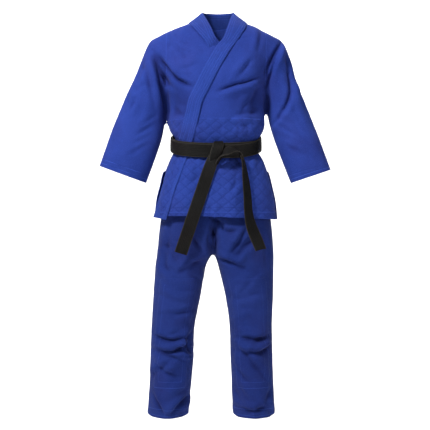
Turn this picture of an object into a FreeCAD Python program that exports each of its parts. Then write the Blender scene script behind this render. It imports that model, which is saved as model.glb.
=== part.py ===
"""A judo-style training uniform, filled out as it hangs on its wearer.

Three garments: a wrap jacket with quilted skirt, a knotted belt and loose trousers with knee patches.
Millimetres.  +Z is up, the wearer faces -Y, and the wearer's left is +X.
The origin is the middle of the shoulder line, at the base of the neck.
Every cloth panel is cut from a family of nested shells, so that layers lie clear of each other.
"""

import FreeCAD, Part
import math
import os

from FreeCAD import Rotation, Vector

# ---------------------------------------------------------------- cloth and clearances
JACKET_CLOTH = 3.0
TROUSER_CLOTH = 2.5
LAPEL_THICK = 7.0
UNDER_LAPEL_THICK = 4.5
LAPEL_WIDTH = 46.0
LINING = 2.0
LAYER_GAP = 1.0
JOINT_GAP = 1.5
BELT_WIDTH = 45.0
BELT_THICK = 4.0
RING_POINTS = 24
FAR = 900.0

# ---------------------------------------------------------------- heights
COLLAR_TOP_Z = 53.0
WAIST_SEAM_Z = -320.0
BELT_Z = -397.0
VENT_TOP_Z = -492.0
JACKET_HEM_Z = -655.0
TROUSER_TOP_Z = -378.0
TROUSER_HEM_Z = -1344.0

# ---------------------------------------------------------------- joint axes
SHOULDER_X, SHOULDER_Z, SHOULDER_R = 200.0, -75.0, 58.0
ARMHOLE_X = 170.0
ELBOW_X, ELBOW_Z, ELBOW_R = 249.0, -305.0, 78.0
HIP_X, HIP_Z, HIP_R = 105.0, -700.0, 102.0
KNEE_Z, KNEE_R = -1075.0, 106.0
KNEE_Y = -6.0
ELBOW_Y = 4.0

# ---------------------------------------------------------------- jacket body: z, half width, half depth, middle y
TORSO = [
    (JACKET_HEM_Z, 205, 126, -4),
    (-606, 200, 124, -4),
    (-565, 190, 121, -3),
    (-523, 180, 117, -3),
    (-482, 168, 112, -2),
    (-445, 155, 105, -1),
    (-420, 140, 97, 0),
    (-375, 138, 96, 0),
    (-350, 156, 105, 0),
    (WAIST_SEAM_Z, 163, 110, -2),
    (-250, 166, 115, -4),
    (-190, 171, 118, -4),
    (-140, 188, 117, -2),
    (-100, 204, 112, 2),
    (-70, 211, 104, 4),
    (-50, 213, 97, 6),
    (-38, 200, 92, 7),
    (-25, 175, 87, 8),
    (-11, 139, 81, 8),
    (4, 93, 76, 8),
]
TORSO_SQUARENESS = 2.4
BELT_TILT = 0.2
BELT_TILT_REACH = 130.0

# ---------------------------------------------------------------- lapels: centre line in the XZ plane
OVER_LAPEL = [(72, 12), (47, -55), (-13, -159), (-69, -269), (-92, -345), (-122, -430), (-184, -670)]
UNDER_LAPEL = [(-72, 12), (-47, -55), (13, -159), (69, -269), (88, -345), (108, -430), (140, -670)]

# ---------------------------------------------------------------- neck
NECK_Y = 8.0
COLLAR_BASE = (88.0, 72.0)
COLLAR_RIM = (50.0, 56.0)
COLLAR_THICK = 6.0

# ---------------------------------------------------------------- sleeves: outer edge x, z, inner edge x, z, half depth
SLEEVE_LEFT = [
    (196, -42, 140, -176, 66),
    (228, -52, 171, -192, 64),
    (260, -125, 172, -215, 62),
    (277, -195, 173, -250, 60),
    (306, -262, 177, -305, 58),
    (345, -357, 203, -400, 55),
    (398, -498, 259, -545, 50),
]
SLEEVE_RIGHT = [
    (-196, -42, -140, -176, 66),
    (-228, -52, -171, -192, 64),
    (-260, -125, -172, -215, 62),
    (-287, -190, -172, -250, 60),
    (-318, -258, -174, -305, 58),
    (-361, -362, -190, -400, 55),
    (-404, -485, -241, -545, 50),
]
SLEEVE_SQUARENESS = 2.1
CUFF_DEPTH = 34.0

# ---------------------------------------------------------------- trouser legs
# z, inner x, deepest x, outer x, half depth, middle y, squareness of the inner half
LEG_LEFT = [
    (TROUSER_TOP_Z, 2.5, 22, 122, 80, 0, 4.0),
    (-440, 2.5, 24, 139, 88, 0, 4.0),
    (-500, 2.5, 26, 153, 96, 0, 4.0),
    (-560, 2.5, 28, 168, 103, 0, 4.0),
    (-620, 2.5, 31, 182, 109, 0, 4.0),
    (-700, -1, 38, 193, 112, 0, 4.0),
    (-783, -4, 52, 199, 106, -2, 3.0),
    (-835, 9, 80, 199, 98, -3, 2.5),
    (-939, 33, 112, 197, 88, -4, 2.3),
    (-1043, 47, 120, 193, 79, -4, 2.2),
    (-1147, 50, 123, 196, 75, 0, 2.2),
    (-1230, 54, 127, 199, 74, 4, 2.2),
    (TROUSER_HEM_Z, 58, 131, 204, 76, 8, 2.2),
]
LEG_RIGHT = [
    (TROUSER_TOP_Z, -2.5, -22, -122, 80, 0, 4.0),
    (-440, -2.5, -24, -139, 88, 0, 4.0),
    (-500, -2.5, -26, -153, 96, 0, 4.0),
    (-560, -2.5, -28, -168, 103, 0, 4.0),
    (-620, -2.5, -31, -183, 109, 0, 4.0),
    (-700, -9, -44, -195, 112, 0, 4.0),
    (-783, -14, -65, -203, 106, -2, 3.0),
    (-835, -36, -110, -210, 98, -3, 2.5),
    (-939, -54, -135, -217, 88, -4, 2.3),
    (-1043, -74, -149, -223, 79, -4, 2.2),
    (-1147, -78, -152, -227, 75, 0, 2.2),
    (-1230, -85, -157, -230, 74, 4, 2.2),
    (TROUSER_HEM_Z, -94, -166, -239, 76, 8, 2.2),
]
LEG_OUTER_SQUARENESS = 2.2
CROTCH_X = -7.5
WAISTBAND_HEIGHT = 38.0
PATCH_TOP_Z = -859.0
PATCH_BOTTOM_Z = -1250.0
PATCH_THICK = 2.0


# ---------------------------------------------------------------- shared geometry
def signed_power(value, power):
    return math.copysign(abs(value) ** power, value)


def ring(centre, across, half_width, half_depth, squareness, tilt=0.0):
    """A closed smooth loop: a superellipse with its width along across and its depth along Y."""
    points = []
    for i in range(RING_POINTS):
        angle = 2.0 * math.pi * i / RING_POINTS
        c = signed_power(math.cos(angle), 2.0 / squareness)
        s = signed_power(math.sin(angle), 2.0 / squareness)
        depth = half_depth * s
        point = centre + across * (half_width * c) + Vector(0, depth, tilt * depth)
        points.append(point)
    curve = Part.BSplineCurve()
    curve.interpolate(Points=points, PeriodicFlag=True)
    return Part.Wire([curve.toShape()])


def loft(rings, ruled=False):
    return Part.makeLoft(rings, True, ruled, False, 2)


def slab(low, high):
    """An axis-aligned block between two corners."""
    size = high - low
    return Part.makeBox(size.x, size.y, size.z, low)


def below(z):
    return slab(Vector(-FAR, -FAR, -2 * FAR), Vector(FAR, FAR, z))


def above(z):
    return slab(Vector(-FAR, -FAR, z), Vector(FAR, FAR, FAR))


def between(z_low, z_high):
    return slab(Vector(-FAR, -FAR, z_low), Vector(FAR, FAR, z_high))


def prism(outline, y_low, y_high):
    """A flat outline of (x, z) points, drawn out along Y."""
    corners = [Vector(x, y_low, z) for x, z in outline]
    face = Part.Face(Part.makePolygon(corners + corners[:1]))
    return face.extrude(Vector(0, y_high - y_low, 0))


def drum(centre, axis, radius):
    """A long cylinder centred on a joint axis."""
    base = centre - axis * FAR
    return Part.makeCylinder(radius, 2 * FAR, base, axis)


def one_solid(shape):
    """The largest solid of a boolean's result."""
    return max(shape.Solids, key=lambda solid: solid.Volume)


def belt_tilt(z):
    """How steeply the cloth's rings lean forward and down, which is most at the belt."""
    nearness = max(0.0, 1.0 - abs(z - BELT_Z) / BELT_TILT_REACH)
    return BELT_TILT * nearness * nearness * (3.0 - 2.0 * nearness)


# ---------------------------------------------------------------- jacket body shells
def torso_solid(offset):
    rings = []
    for z, half_width, half_depth, middle_y in TORSO:
        centre = Vector(0, middle_y, z)
        rings.append(
            ring(centre, Vector(1, 0, 0), half_width + offset, half_depth + offset,
                 TORSO_SQUARENESS, belt_tilt(z))
        )
    return loft(rings)


TORSO_CACHE = {}


def torso(offset):
    if offset not in TORSO_CACHE:
        TORSO_CACHE[offset] = torso_solid(offset)
    return TORSO_CACHE[offset]


def torso_shell(outer, inner):
    return torso(outer).cut(torso(inner))


def strip_edges(path, width):
    """The two edges of a band that follows a polyline in the XZ plane."""
    left, right = [], []
    for i, (x, z) in enumerate(path):
        x0, z0 = path[max(i - 1, 0)]
        x1, z1 = path[min(i + 1, len(path) - 1)]
        along = math.hypot(x1 - x0, z1 - z0)
        across_x, across_z = -(z1 - z0) / along, (x1 - x0) / along
        right.append((x + across_x * width / 2, z + across_z * width / 2))
        left.append((x - across_x * width / 2, z - across_z * width / 2))
    return left, right


def lapel_band(path):
    left, right = strip_edges(path, LAPEL_WIDTH)
    return prism(left + right[::-1], -FAR, 0)


def front_region(path, side):
    """Everything in front of the side seams, from a lapel's edge out to the side it is sewn to."""
    left, right = strip_edges(path, LAPEL_WIDTH)
    edge = max(left, right, key=lambda points: side * sum(x for x, z in points))
    outline = edge + [(side * FAR, edge[-1][1]), (side * FAR, edge[0][1])]
    return prism(outline, -FAR, -LAYER_GAP / 2)


def back_region():
    return slab(Vector(-FAR, LAYER_GAP / 2, -2 * FAR), Vector(FAR, FAR, FAR))


def neck_hole(extra):
    rings = []
    for z in (-80, 120):
        rings.append(
            ring(Vector(0, NECK_Y, z), Vector(1, 0, 0), COLLAR_BASE[0] + extra,
                 COLLAR_BASE[1] + extra, TORSO_SQUARENESS)
        )
    return loft(rings, True)


def sleeve_side(side, grow):
    """The space that turns with a sleeve: the round of the shoulder, and all outside the armhole."""
    centre = Vector(side * SHOULDER_X, 0, SHOULDER_Z)
    round_part = drum(centre, Vector(0, 1, 0), SHOULDER_R + grow)
    inner_x, outer_x = sorted((side * (ARMHOLE_X - grow), side * FAR))
    outside = slab(Vector(inner_x, -FAR, -FAR), Vector(outer_x, FAR, SHOULDER_Z))
    return round_part.fuse(outside)


def sleeve_solid(table, offset):
    rings = []
    for outer_x, outer_z, inner_x, inner_z, half_depth in table:
        outer, inner = Vector(outer_x, 0, outer_z), Vector(inner_x, 0, inner_z)
        across = outer - inner
        half_width = across.Length / 2
        across.normalize()
        centre = (outer + inner) * 0.5 + Vector(0, 2, 0)
        rings.append(ring(centre, across, half_width + offset, half_depth + offset, SLEEVE_SQUARENESS))
    return loft(rings)


def sleeve_direction(table):
    """Down the sleeve, from the armhole's middle to the cuff's middle."""
    first, last = table[1], table[-1]
    start = Vector((first[0] + first[2]) / 2, 0, (first[1] + first[3]) / 2)
    end = Vector((last[0] + last[2]) / 2, 0, (last[1] + last[3]) / 2)
    return (end - start).normalize()


def elbow(side, table):
    """The elbow's middle, its axis and the half space on the cuff's side of it."""
    centre = Vector(side * ELBOW_X, ELBOW_Y, ELBOW_Z)
    down = sleeve_direction(table)
    axis = Vector(-down.z, 0, down.x)
    block = Part.makeBox(2 * FAR, 2 * FAR, FAR, Vector(-FAR, -FAR, 0))
    block.Placement = FreeCAD.Placement(centre, Rotation(Vector(0, 0, 1), down))
    return centre, axis, block


def make_sleeve(side, table, name):
    shell = sleeve_solid(table, 0).cut(sleeve_solid(table, -JACKET_CLOTH))
    shell = shell.cut(torso(-JACKET_CLOTH))
    cap = torso_shell(0, -JACKET_CLOTH).common(above(-200))
    cap = cap.cut(sleeve_solid(table, -JACKET_CLOTH))
    whole = shell.fuse(cap.common(sleeve_side(side, 0)))
    turning = whole.common(sleeve_side(side, 0))
    centre, axis, cuff_half = elbow(side, table)
    upper = turning.cut(cuff_half).cut(drum(centre, axis, ELBOW_R + JOINT_GAP))
    fore = turning.common(cuff_half.fuse(drum(centre, axis, ELBOW_R)))
    low_edge = table[-1]
    hem_line = Vector((low_edge[0] + low_edge[2]) / 2, 0, (low_edge[1] + low_edge[3]) / 2)
    down = sleeve_direction(table)
    near_cuff = Part.makeBox(2 * FAR, 2 * FAR, FAR, Vector(-FAR, -FAR, 0))
    near_cuff.Placement = FreeCAD.Placement(hem_line - down * CUFF_DEPTH, Rotation(Vector(0, 0, 1), down))
    lining = sleeve_solid(table, -JACKET_CLOTH - 0.5).cut(sleeve_solid(table, -JACKET_CLOTH - LINING))
    return {
        f"{name}_upper": one_solid(upper),
        f"{name}_lower": one_solid(fore),
        f"{name}_cuff_hem": one_solid(lining.common(near_cuff)),
    }


def make_jacket_panels():
    """Back, two overlapping fronts and the three quilted skirt panels."""
    base = torso_shell(0, -JACKET_CLOTH).cut(neck_hole(1.0))
    over = torso_shell(LAYER_GAP + JACKET_CLOTH, LAYER_GAP).cut(neck_hole(1.0))
    arms = sleeve_side(1, JOINT_GAP).fuse(sleeve_side(-1, JOINT_GAP))
    top, skirt = above(WAIST_SEAM_Z + 0.2), between(-2 * FAR, WAIST_SEAM_Z - 0.2)
    vents = slab(Vector(-FAR, -5, -FAR), Vector(FAR, 5, VENT_TOP_Z))
    back = base.common(back_region())
    right = base.common(front_region(UNDER_LAPEL, -1))
    left = over.common(front_region(OVER_LAPEL, 1))
    return {
        "jacket_back": one_solid(back.common(top).cut(arms)),
        "jacket_front_right": one_solid(right.common(top).cut(arms)),
        "jacket_front_left": one_solid(left.common(top).cut(arms)),
        "skirt_back": one_solid(back.common(skirt).cut(vents)),
        "skirt_front_right": one_solid(right.common(skirt).cut(vents)),
        "skirt_front_left": one_solid(left.common(skirt).cut(vents)),
    }


def make_lapels():
    """The stiff band on each front edge, thick enough to hold its rolled core."""
    over = torso_shell(LAYER_GAP + LAPEL_THICK, LAYER_GAP).common(lapel_band(OVER_LAPEL))
    under = torso_shell(0, -UNDER_LAPEL_THICK).common(lapel_band(UNDER_LAPEL))
    inside_neck = neck_hole(1.0)
    return {
        "lapel_left_over": one_solid(over.cut(inside_neck)),
        "lapel_right_under": one_solid(under.cut(inside_neck)),
    }


def make_collar():
    """The band round the neck, open in a V at the front where the two lapels run up into it."""
    outer_rings, inner_rings = [], []
    for z, (half_width, half_depth) in ((0.0, COLLAR_BASE), (COLLAR_TOP_Z, COLLAR_RIM)):
        centre = Vector(0, NECK_Y, z)
        outer_rings.append(ring(centre, Vector(1, 0, 0), half_width, half_depth, 2.2))
        inner_rings.append(
            ring(centre, Vector(1, 0, 0), half_width - COLLAR_THICK, half_depth - COLLAR_THICK, 2.2)
        )
    band = loft(outer_rings, True).cut(loft(inner_rings, True))
    opening = prism([(0, -73), (60, 62), (-60, 62)], -FAR, NECK_Y)
    return {"collar_band": one_solid(band.cut(opening))}


def make_jacket_trim():
    """Tapes, linings and patches, all thin and inside the cloth or on its back."""
    inner = torso_shell(-JACKET_CLOTH - LAYER_GAP, -JACKET_CLOTH - LAYER_GAP - LINING)
    outer = torso_shell(2.0, 0.4).common(back_region())
    tape = slab(Vector(-7, 0, JACKET_HEM_Z), Vector(7, FAR, -6))
    parts = {"back_seam_tape": one_solid(outer.common(tape))}
    hem = between(JACKET_HEM_Z, JACKET_HEM_Z + 22).cut(
        slab(Vector(-FAR, -6, -FAR), Vector(FAR, 6, FAR)))
    parts["skirt_hem_back"] = one_solid(inner.common(hem).common(back_region()))
    parts["skirt_hem_front_right"] = one_solid(inner.common(hem).common(front_region(UNDER_LAPEL, -1)))
    for side, name in ((1, "left"), (-1, "right")):
        low_x, high_x = sorted((side * 96, side * 138))
        yoke = slab(Vector(low_x, -FAR, -110), Vector(high_x, FAR, FAR))
        parts[f"shoulder_lining_{name}"] = one_solid(inner.common(yoke))
        low_x, high_x = sorted((side * 120, side * FAR))
        gusset = slab(Vector(low_x, -40, -262), Vector(high_x, 40, -204))
        parts[f"armpit_gusset_{name}"] = one_solid(inner.common(gusset))
        patch = slab(Vector(low_x, 8, VENT_TOP_Z - 12), Vector(high_x, 40, VENT_TOP_Z + 26))
        parts[f"vent_patch_{name}"] = one_solid(outer.common(patch))
    return parts


# ---------------------------------------------------------------- belt
def belt_loop(outer, inner):
    """One turn of the belt, a band that leans forward and down with the waist."""
    solids = []
    for offset in (outer, inner):
        rings = []
        for z in (BELT_Z - BELT_WIDTH / 2, BELT_Z + BELT_WIDTH / 2):
            rings.append(
                ring(Vector(0, 0, z), Vector(1, 0, 0), 139 + offset, 97 + offset,
                     TORSO_SQUARENESS, BELT_TILT)
            )
        solids.append(loft(rings, True))
    return one_solid(solids[0].cut(solids[1]))


def ribbon(stations):
    """A flat strap: each station is a middle point, a half-width vector and a half-thickness vector."""
    sections = []
    for middle, half_width, half_thick in stations:
        corners = [
            middle - half_width - half_thick,
            middle + half_width - half_thick,
            middle + half_width + half_thick,
            middle - half_width + half_thick,
        ]
        sections.append(Part.makePolygon(corners + corners[:1]))
    return loft(sections, True)


FRONT = Vector(0, -1, 0)
TAIL_HALF_THICK = FRONT * (BELT_THICK / 2)
KNOT_Y = -119.5
TAIL_LEFT_ROOT = Vector(97, -129, -452)
TAIL_RIGHT_ROOT = Vector(-12, -127, -470)


def make_belt():
    first = belt_loop(13.0, 9.0)
    second = belt_loop(18.0, 14.0)
    half = BELT_WIDTH / 2
    thick = FRONT * (BELT_THICK * 0.75)
    upright = Vector(0.34, 0, -0.94)
    wrap = ribbon([
        (Vector(2, KNOT_Y, -394), Vector(half, 0, 4), thick),
        (Vector(-2, KNOT_Y - 2, -430), Vector(half * 0.95, 0, 5), thick),
        (Vector(-8, KNOT_Y, -461), Vector(half * 0.9, 0, 7), thick),
    ])
    lift = FRONT * (BELT_THICK * 2.0)
    cross = ribbon([
        (Vector(8, KNOT_Y, -446) + lift, upright * (half * 0.55), thick),
        (Vector(40, KNOT_Y - 3, -424) + lift, upright * (half * 0.8), thick),
        (Vector(72, KNOT_Y, -414) + lift, upright * (half * 0.7), thick),
        (Vector(94, KNOT_Y + 4, -432) + lift, upright.cross(FRONT) * (half * 0.45), thick),
    ])
    return {
        "belt_first_turn": first,
        "belt_second_turn": second,
        "belt_knot_wrap": wrap,
        "belt_knot_cross": cross,
    }


def make_belt_tails():
    """The two free ends, hanging in front of the skirt."""
    half = BELT_WIDTH / 2
    right = ribbon([
        (TAIL_RIGHT_ROOT, Vector(half * 0.94, 0, half * 0.33), TAIL_HALF_THICK),
        (Vector(-54, -139, -593), Vector(half * 0.95, 0, half * 0.31), TAIL_HALF_THICK),
        (Vector(-117, -146, -776), Vector(half * 0.95, 0, -half * 0.31), TAIL_HALF_THICK),
    ])
    left = ribbon([
        (TAIL_LEFT_ROOT, Vector(half * 0.35, half * 0.5, 0), TAIL_HALF_THICK),
        (Vector(112, -139, -537), Vector(half * 0.6, half * 0.3, 0), TAIL_HALF_THICK),
        (Vector(122, -146, -650), Vector(half * 0.85, 0, 0), TAIL_HALF_THICK),
        (Vector(155, -148, -764), Vector(half * 0.95, 0, half * 0.3), TAIL_HALF_THICK),
    ])
    return {"belt_tail_right": right, "belt_tail_left": left}


# ---------------------------------------------------------------- trousers
def leg_ring(row, offset):
    """A loop that is flatter on its inner side, where the two legs face each other."""
    z, inner_x, deep_x, outer_x, half_depth, middle_y, inner_squareness = row
    side = math.copysign(1.0, outer_x)
    points = []
    for i in range(RING_POINTS):
        angle = 2.0 * math.pi * i / RING_POINTS
        c, s = math.cos(angle), math.sin(angle)
        reach, squareness = abs(outer_x - deep_x) + offset, LEG_OUTER_SQUARENESS
        if c < 0:
            reach, squareness = abs(deep_x - inner_x) + offset, inner_squareness
        depth = (half_depth + offset) * signed_power(s, 2.0 / squareness)
        x = deep_x + side * reach * signed_power(c, 2.0 / squareness)
        points.append(Vector(x, middle_y + depth, z + belt_tilt(z) * depth))
    curve = Part.BSplineCurve()
    curve.interpolate(Points=points, PeriodicFlag=True)
    return Part.Wire([curve.toShape()])


def leg_solid(table, offset):
    return loft([leg_ring(row, offset) for row in table])


def hip_space(side, grow):
    """The space that swings with a leg: the round of the hip, and all below it."""
    centre = Vector(side * HIP_X, 0, HIP_Z)
    round_part = drum(centre, Vector(0, 1, 0), HIP_R + grow)
    low_x, high_x = sorted((side * (0.5 - 30.0 * (grow == 0.0)), side * FAR))
    under = slab(Vector(low_x, -FAR, -2 * FAR), Vector(high_x, FAR, HIP_Z + grow))
    return round_part.fuse(under)


def make_leg(side, table, name):
    outer, inner = leg_solid(table, 0), leg_solid(table, -TROUSER_CLOTH)
    shell = outer.cut(inner)
    knee = Vector(0, KNEE_Y, KNEE_Z)
    x_axis = Vector(1, 0, 0)
    swinging = shell.common(hip_space(side, 0.0))
    seat = shell.cut(hip_space(side, JOINT_GAP))
    inner_wall = slab(Vector(-14, -80, -2 * FAR), Vector(14, 80, FAR))
    seat = one_solid(seat.cut(inner_wall).cut(waistband_space(0.2)))
    thigh = swinging.cut(below(KNEE_Z)).cut(drum(knee, x_axis, KNEE_R + JOINT_GAP))
    shin = swinging.common(below(KNEE_Z).fuse(drum(knee, x_axis, KNEE_R)))
    hem = leg_solid(table, -TROUSER_CLOTH - 0.5).cut(leg_solid(table, -TROUSER_CLOTH - LINING))
    patch = leg_solid(table, 0.5 + PATCH_THICK).cut(leg_solid(table, 0.5))
    middle_x = abs(table[9][2])
    low_x, high_x = sorted((side * (middle_x - 58), side * (middle_x + 62)))
    patch_area = slab(Vector(low_x, -FAR, PATCH_BOTTOM_Z), Vector(high_x, -20, PATCH_TOP_Z))
    patch = patch.common(patch_area)
    upper_patch = patch.cut(below(KNEE_Z)).cut(drum(knee, x_axis, KNEE_R + JOINT_GAP))
    lower_patch = patch.common(below(KNEE_Z).fuse(drum(knee, x_axis, KNEE_R)))
    return {
        f"trouser_seat_{name}": seat,
        f"trouser_thigh_{name}": one_solid(thigh),
        f"trouser_shin_{name}": one_solid(shin),
        f"trouser_hem_{name}": one_solid(hem.common(below(TROUSER_HEM_Z + 28))),
        f"knee_patch_upper_{name}": one_solid(upper_patch),
        f"knee_patch_lower_{name}": one_solid(lower_patch),
    }


def waistband_space(grow):
    """A leaning slice of space as high as the waistband."""
    rings = []
    for z in (TROUSER_TOP_Z - WAISTBAND_HEIGHT - grow, TROUSER_TOP_Z + 60):
        rings.append(ring(Vector(0, 0, z), Vector(1, 0, 0), 400, 400, 2.0, BELT_TILT))
    return loft(rings, True)


def waist_ring(z, offset):
    return ring(Vector(0, 0, z), Vector(1, 0, 0), 126 + offset, 84 + offset, 2.4, BELT_TILT)


def waist_solid(offset):
    return loft([waist_ring(TROUSER_TOP_Z - 80, offset), waist_ring(TROUSER_TOP_Z + 40, offset)], True)


def waist_tube(outer, inner, z_low, z_high):
    outside = loft([waist_ring(z_low, outer), waist_ring(z_high, outer)], True)
    inside = loft([waist_ring(z_low, inner), waist_ring(z_high, inner)], True)
    return one_solid(outside.cut(inside))


def make_waistband():
    """A doubled band whose casing takes the drawstring, with its two outlets and two loops in front."""
    z_low, z_high = TROUSER_TOP_Z - WAISTBAND_HEIGHT, TROUSER_TOP_Z
    middle = (z_low + z_high) / 2
    band = waist_tube(0, -5.5, z_low, z_high)
    casing = waist_tube(-1.8, -3.7, middle - 11, middle + 11)
    band = band.cut(casing)
    parts = {}
    for side, name in ((1, "left"), (-1, "right")):
        outlet = Part.makeCylinder(5.0, 60, Vector(side * 32, -110, middle - 17), Vector(0, 1, 0))
        band = band.cut(outlet.cut(waist_solid(-3.0)))
        loop = slab(Vector(side * 62 - 5, -95, middle - 31), Vector(side * 62 + 5, -40, middle - 4))
        ring_out = waist_tube(2.4, 0.6, z_low - 2, z_high + 2)
        parts[f"drawstring_loop_{name}"] = one_solid(ring_out.common(loop))
    parts["trouser_waistband"] = one_solid(band)
    return parts


def make_crotch_gusset():
    """The folded web between the legs, an arch in the middle plane that joins front rise to back rise."""
    centre = Vector(CROTCH_X, 0, HIP_Z - 8)
    outer = Part.makeCylinder(84, 2.4, centre - Vector(1.2, 0, 0), Vector(1, 0, 0))
    inner = Part.makeCylinder(56, 6.0, centre - Vector(3, 0, 0), Vector(1, 0, 0))
    arch = outer.cut(inner).common(below(HIP_Z - 38))
    return {"crotch_gusset": one_solid(arch)}


# ---------------------------------------------------------------- everything
def main():
    os.makedirs("parts", exist_ok=True)
    parts = {}
    parts.update(make_jacket_panels())
    parts.update(make_lapels())
    parts.update(make_collar())
    parts.update(make_jacket_trim())
    parts.update(make_sleeve(1, SLEEVE_LEFT, "sleeve_left"))
    parts.update(make_sleeve(-1, SLEEVE_RIGHT, "sleeve_right"))
    parts.update(make_belt())
    parts.update(make_belt_tails())
    parts.update(make_leg(1, LEG_LEFT, "left"))
    parts.update(make_leg(-1, LEG_RIGHT, "right"))
    parts.update(make_waistband())
    parts.update(make_crotch_gusset())
    for name, shape in parts.items():
        shape.exportStep(f"parts/{name}.step")
        box = shape.BoundBox
        print(name, "valid", shape.isValid(), "volume cm3", round(shape.Volume / 1000, 1),
              "size", round(box.XLength), round(box.YLength), round(box.ZLength))


main()
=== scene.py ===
"""Looks for a judo-style training uniform: cloth panels, lapels, knotted belt and trousers over the CAD frame.

Shapes are in millimetres in the tables below and in metres in Blender.
+Z is up, the wearer faces -Y, the wearer's left is +X, and the origin is at the base of the neck.
"""
import math

import bmesh
import bpy
import numpy as np
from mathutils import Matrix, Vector
from mathutils.bvhtree import BVHTree


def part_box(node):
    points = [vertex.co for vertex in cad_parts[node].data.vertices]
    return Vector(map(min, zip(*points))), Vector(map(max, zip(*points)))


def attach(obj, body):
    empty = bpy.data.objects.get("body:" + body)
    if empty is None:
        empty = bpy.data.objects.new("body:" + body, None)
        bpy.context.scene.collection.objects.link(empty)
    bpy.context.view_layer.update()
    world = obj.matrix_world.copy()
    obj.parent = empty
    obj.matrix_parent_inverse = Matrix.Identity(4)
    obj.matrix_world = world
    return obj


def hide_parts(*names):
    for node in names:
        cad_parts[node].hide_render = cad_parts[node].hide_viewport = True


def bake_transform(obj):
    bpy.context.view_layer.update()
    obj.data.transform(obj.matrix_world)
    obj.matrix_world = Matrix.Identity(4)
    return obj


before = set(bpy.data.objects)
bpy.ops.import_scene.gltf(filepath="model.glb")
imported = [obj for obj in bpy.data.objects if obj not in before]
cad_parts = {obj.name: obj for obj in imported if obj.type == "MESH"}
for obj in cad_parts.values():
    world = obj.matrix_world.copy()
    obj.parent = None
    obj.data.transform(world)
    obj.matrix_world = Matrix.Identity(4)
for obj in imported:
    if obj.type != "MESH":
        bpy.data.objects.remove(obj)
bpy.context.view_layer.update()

MM = 0.001
JACKET_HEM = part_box("skirt_back")[0][2]
TROUSER_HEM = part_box("trouser_shin_left")[0][2]

# ------------------------------------------------------------------ shape tables
# These follow the CAD, except that the waist and the belt lie a little lower.
# z, half width, half depth, middle y
TORSO = np.array([
    (-655, 205, 126, -4), (-606, 200, 124, -4), (-565, 190, 121, -3), (-523, 180, 117, -3),
    (-486, 168, 112, -2), (-455, 156, 105, -1), (-430, 141, 97, 0), (-390, 140, 96, 0),
    (-368, 157, 105, 0), (-345, 165, 110, -1), (-315, 165, 111, -2), (-250, 166, 115, -4), (-190, 171, 118, -4),
    (-140, 188, 117, -2), (-100, 204, 112, 2), (-70, 211, 104, 4), (-50, 213, 97, 6),
    (-38, 200, 92, 7), (-25, 175, 87, 8), (-11, 139, 81, 8), (4, 93, 76, 8),
], float)
# outer x, outer z, inner x, inner z, half depth
SLEEVES = {
    1: np.array([
        (196, -42, 140, -176, 66), (228, -52, 171, -192, 64), (260, -125, 172, -215, 62),
        (277, -195, 173, -250, 60), (306, -262, 177, -305, 58), (345, -357, 203, -400, 55),
        (398, -498, 259, -545, 50),
    ], float),
    -1: np.array([
        (-196, -42, -140, -176, 66), (-228, -52, -171, -192, 64), (-260, -125, -172, -215, 62),
        (-287, -190, -172, -250, 60), (-318, -258, -174, -305, 58), (-361, -362, -190, -400, 55),
        (-404, -485, -241, -545, 50),
    ], float),
}
# z, then inner, deepest and outer x of the left leg and of the right leg, half depth, middle y, inner squareness
LEG_ROWS = np.array([
    (-378, 2.5, 22, 122, -2.5, -22, -122, 80, 0, 4.0), (-440, 2.5, 24, 139, -2.5, -24, -139, 88, 0, 4.0),
    (-500, 2.5, 26, 153, -2.5, -26, -153, 96, 0, 4.0), (-560, 2.5, 28, 168, -2.5, -28, -168, 103, 0, 4.0),
    (-620, 2.5, 31, 182, -2.5, -31, -183, 109, 0, 4.0), (-700, -1, 38, 193, -9, -44, -195, 112, 0, 4.0),
    (-783, -4, 52, 199, -14, -65, -203, 106, -2, 3.0), (-835, 9, 80, 199, -36, -110, -210, 98, -3, 2.5),
    (-939, 33, 112, 197, -54, -135, -217, 88, -4, 2.3), (-1043, 47, 120, 193, -74, -149, -223, 79, -4, 2.2),
    (-1147, 50, 123, 196, -78, -152, -227, 75, 0, 2.2), (-1230, 54, 127, 199, -85, -157, -230, 74, 4, 2.2),
    (-1344, 58, 131, 204, -94, -166, -239, 76, 8, 2.2),
], float)
LEGS = {1: LEG_ROWS[:, [0, 1, 2, 3, 7, 8, 9]], -1: LEG_ROWS[:, [0, 4, 5, 6, 7, 8, 9]]}
SQUARENESS = 2.4
SLEEVE_SQUARENESS = 2.1
BELT_Z, BELT_TILT, BELT_TILT_REACH = -409.0, 0.29, 150.0
VOXEL = 0.0058
CLOTH_THICKNESS = 0.003
# metres from here on
WAIST_SEAM = -0.331
VENT_TOP = -0.500
NECK_CUT = 0.003
ARMHOLE_X, ARMHOLE_BOTTOM = 0.172, -0.205
BODY_REACH, ARM_REACH = 0.215, 0.210
SLEEVES_END = -0.56
SLEEVE_MIDDLE_Y, SLEEVE_RADIUS = 0.002, 0.075
KNEE_PATCH_HALF, KNEE_PATCH_TOP, KNEE_PATCH_BOTTOM = 0.066, -0.868, -1.245
TROUSER_TOP = -0.386
SLEEVE_SPLIT = 0.140
KNEE_SPLIT = -0.95
CROTCH_X = -0.0075
NECK_X = 6.0
SIDES = ((1, "left"), (-1, "right"))
OVER_LAPEL = [(-670, -192), (-560, -160), (-453, -121), (-383, -97), (-345, -87), (-269, -69), (-159, -13),
              (-55, 47), (12, 72)]
UNDER_LAPEL = [(-670, 140), (-430, 108), (-345, 88), (-269, 69), (-160, 35), (-92, -3), (4, -54)]
# strength, x, z, half width and half height of the places under the arms where the front gets painted shade
UNDERARM_SHADE = [(0.75, -122, -264, 44, 54), (0.45, 96, -270, 66, 44), (0.4, 140, -268, 26, 62),
               (0.3, -192, -215, 18, 90), (0.35, 206, -215, 18, 80)]


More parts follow.
